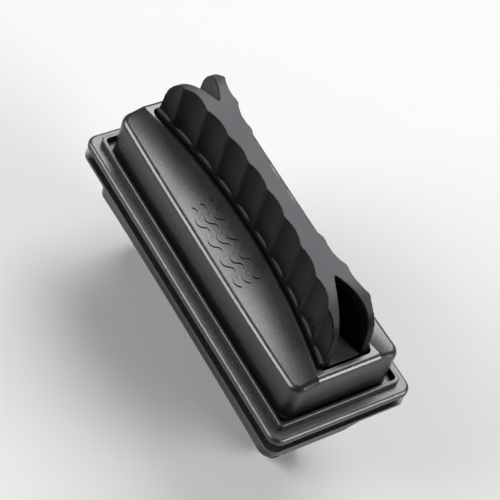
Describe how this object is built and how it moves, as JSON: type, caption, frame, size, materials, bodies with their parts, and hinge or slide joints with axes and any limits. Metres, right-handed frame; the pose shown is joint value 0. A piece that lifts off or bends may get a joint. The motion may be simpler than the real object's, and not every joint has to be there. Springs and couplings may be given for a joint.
{
  "type": "magnetic glass cleaner",
  "caption": "Hand-held aquarium glass cleaner: mirrored halves with cleaning pads, held through the pane by magnets, each with a fluted grip.",
  "frame": {"origin": "middle of the inner half's flat grip edge, on which the clamped pair stands", "axes": "+X along the length, +Y across the width, +Z from the inner (wet) half to the outer (dry) half, normal to the glass"},
  "size_m": [0.072, 0.03, 0.0504],
  "materials": {
    "speckled_plastic": "fine speckled matte moulding",
    "satin_plastic": "satin moulded black plastic",
    "grip_plastic": "darker satin moulded plastic",
    "seal_rubber": "matte black rubber",
    "tray_plastic": "plain moulding",
    "yoke_steel": "rolled sheet",
    "magnet": "sintered block",
    "foam": "closed-cell foam",
    "adhesive": "double-sided tape",
    "felt": "dense felt",
    "scrub": "coarse looped pile"
  },
  "bodies": {
    "inner_half": {"inner_base_plate": "speckled_plastic", "inner_seal_ring": "seal_rubber", "inner_housing": "satin_plastic", "inner_grip": "grip_plastic", "inner_magnet_tray": "tray_plastic", "inner_yoke_plate": "yoke_steel", "inner_foam_spacer": "foam", "inner_pad_adhesive": "adhesive", "inner_rear_magnet": "magnet", "inner_front_magnet": "magnet", "inner_scrub_pad": "scrub"},
    "outer_half": {"outer_base_plate": "speckled_plastic", "outer_seal_ring": "seal_rubber", "outer_housing": "satin_plastic", "outer_grip": "grip_plastic", "outer_magnet_tray": "tray_plastic", "outer_yoke_plate": "yoke_steel", "outer_foam_spacer": "foam", "outer_pad_adhesive": "adhesive", "outer_rear_magnet": "magnet", "outer_front_magnet": "magnet", "outer_felt_pad": "felt"}
  },
  "joints": [
    {"name": "pull_apart", "type": "slide", "parent": "inner_half", "child": "outer_half", "axis": [0, 0, 1], "range_m": [0, 0.05]}
  ]
}
